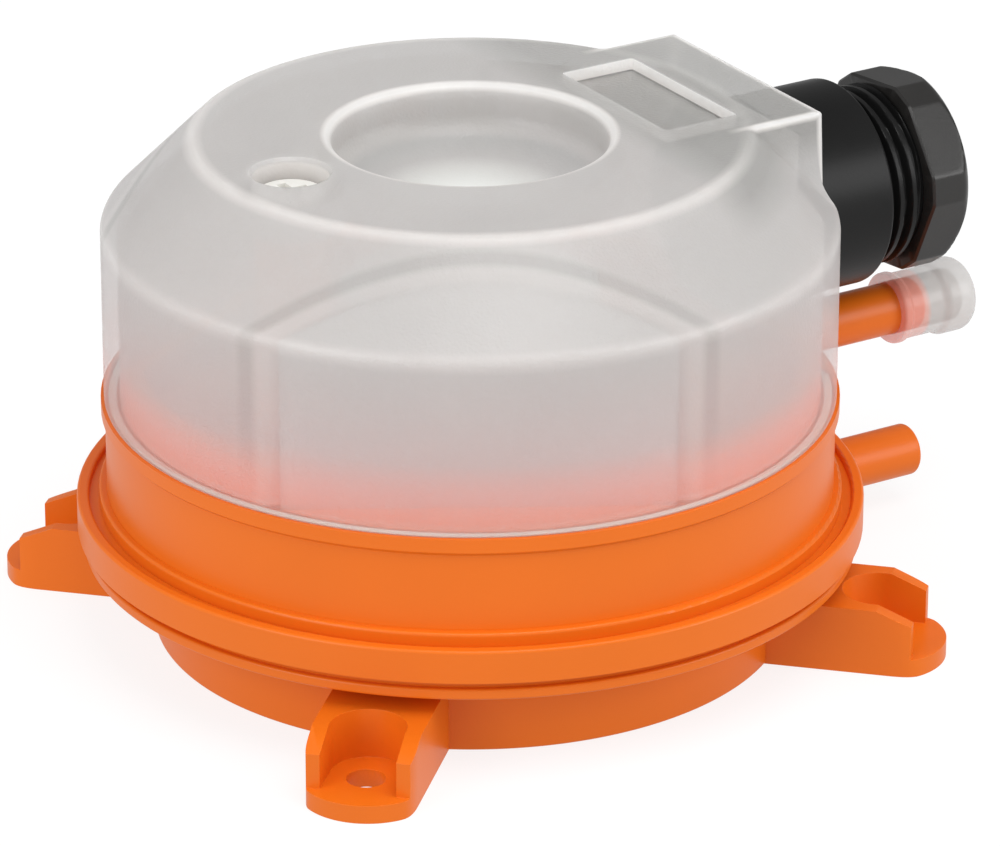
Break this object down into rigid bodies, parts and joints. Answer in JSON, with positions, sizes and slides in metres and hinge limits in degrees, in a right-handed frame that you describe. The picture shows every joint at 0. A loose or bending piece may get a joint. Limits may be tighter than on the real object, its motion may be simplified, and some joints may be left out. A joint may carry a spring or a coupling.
{
  "type": "differential pressure switch",
  "caption": "Round differential pressure switch for air: orange two-part housing on slotted feet, frosted cover, black cable gland and two side hose stubs, the upper one capped.",
  "frame": {"origin": "centre of the four mounting holes, on the round axis, in the plane of the underside of the base", "axes": "+Z along the round axis from the base to the cover, +X along the cable gland and the two hose stubs, +Y completes the right-handed frame"},
  "size_m": [0.1116, 0.0886, 0.0581],
  "materials": {
    "orange_plastic": "satin moulded orange",
    "frosted_cover": "milky translucent, fine sparked texture",
    "black_nylon": "moulded nylon",
    "clear_soft_plastic": "soft, natural colour",
    "white_plastic": "moulded",
    "pale_scale": "smooth",
    "ivory_plastic": "moulded",
    "red_plastic": "moulded",
    "silicone_membrane": "silk",
    "black_rubber": "matt",
    "spring_steel": "bright drawn",
    "zinc_steel": "zinc plated",
    "tin_plated_brass": "tin plated"
  },
  "bodies": {
    "housing": {"base_housing": "orange_plastic", "upper_housing": "orange_plastic", "diaphragm": "silicone_membrane", "range_spring": "spring_steel", "spindle_seal": "black_rubber", "scale_plate": "pale_scale", "pin_grommet": "silicone_membrane", "microswitch_body": "ivory_plastic", "lever_pivot_pin": "spring_steel", "terminal_common": "tin_plated_brass", "terminal_normally_open": "tin_plated_brass", "terminal_normally_closed": "tin_plated_brass", "switch_screws": "zinc_steel", "cover_seal": "silicone_membrane"},
    "plate": {"diaphragm_plate": "white_plastic"},
    "lever": {"actuating_lever": "spring_steel"},
    "plunger": {"microswitch_plunger": "red_plastic"},
    "dial": {"setting_dial": "white_plastic", "dial_clip": "spring_steel"},
    "retainer": {"spring_retainer": "white_plastic"},
    "cover": {"cover": "frosted_cover", "gland_body": "black_nylon", "gland_gasket": "black_rubber", "gland_locknut": "black_nylon", "gland_seal": "black_rubber"},
    "cover_screw": {"cover_screw": "white_plastic"},
    "slip_washer": {"gland_slip_washer": "black_nylon"},
    "gland_nut": {"gland_nut": "black_nylon"},
    "port_cap": {"port_cap": "clear_soft_plastic"}
  },
  "joints": [
    {"name": "diaphragm_stroke", "type": "slide", "parent": "housing", "child": "plate", "axis": [0, 0, 1], "range_m": [0, 0.001], "stiffness_N_per_m": 300, "springref_m": -0.001, "deforming": ["diaphragm", "range_spring"]},
    {"name": "lever_swing", "type": "hinge", "parent": "housing", "child": "lever", "pos_m": [0.003, 0.0305, 0.0304], "axis": [-1, 0, 0], "range_deg": [0, 3.3]},
    {"name": "plunger_press", "type": "slide", "parent": "housing", "child": "plunger", "axis": [0, 0, 1], "range_m": [0, 0.00045]},
    {"name": "dial_turn", "type": "hinge", "parent": "housing", "child": "dial", "pos_m": [0, 0, 0.04], "axis": [0, 0, -1], "range_deg": [0, 300]},
    {"name": "retainer_travel", "type": "slide", "parent": "housing", "child": "retainer", "axis": [0, 0, -1], "range_m": [0, 0.00084], "deforming": ["range_spring"]},
    {"name": "cover_lift", "type": "slide", "parent": "housing", "child": "cover", "axis": [0, 0, 1], "range_m": [0, 0.04]},
    {"name": "cover_screw_turn", "type": "hinge", "parent": "cover", "child": "cover_screw", "pos_m": [-0.0229, 0, 0.05], "axis": [0, 0, 1], "continuous": true},
    {"name": "gland_washer_travel", "type": "slide", "parent": "cover", "child": "slip_washer", "axis": [1, 0, 0], "range_m": [0, 0.0031]},
    {"name": "gland_nut_turn", "type": "hinge", "parent": "slip_washer", "child": "gland_nut", "pos_m": [0.058, 0, 0.0424], "axis": [1, 0, 0], "range_deg": [0, 720]},
    {"name": "cap_pull", "type": "slide", "parent": "housing", "child": "port_cap", "axis": [1, 0, 0], "range_m": [0, 0.012]}
  ],
  "couplings": [
    {"joint": "lever_swing", "follows": "diaphragm_stroke", "rad_per_m": 57.143},
    {"joint": "plunger_press", "follows": "diaphragm_stroke", "ratio": 0.44286},
    {"joint": "retainer_travel", "follows": "dial_turn", "m_per_rad": 0.00015915},
    {"joint": "gland_washer_travel", "follows": "gland_nut_turn", "m_per_rad": 0.00023873}
  ]
}
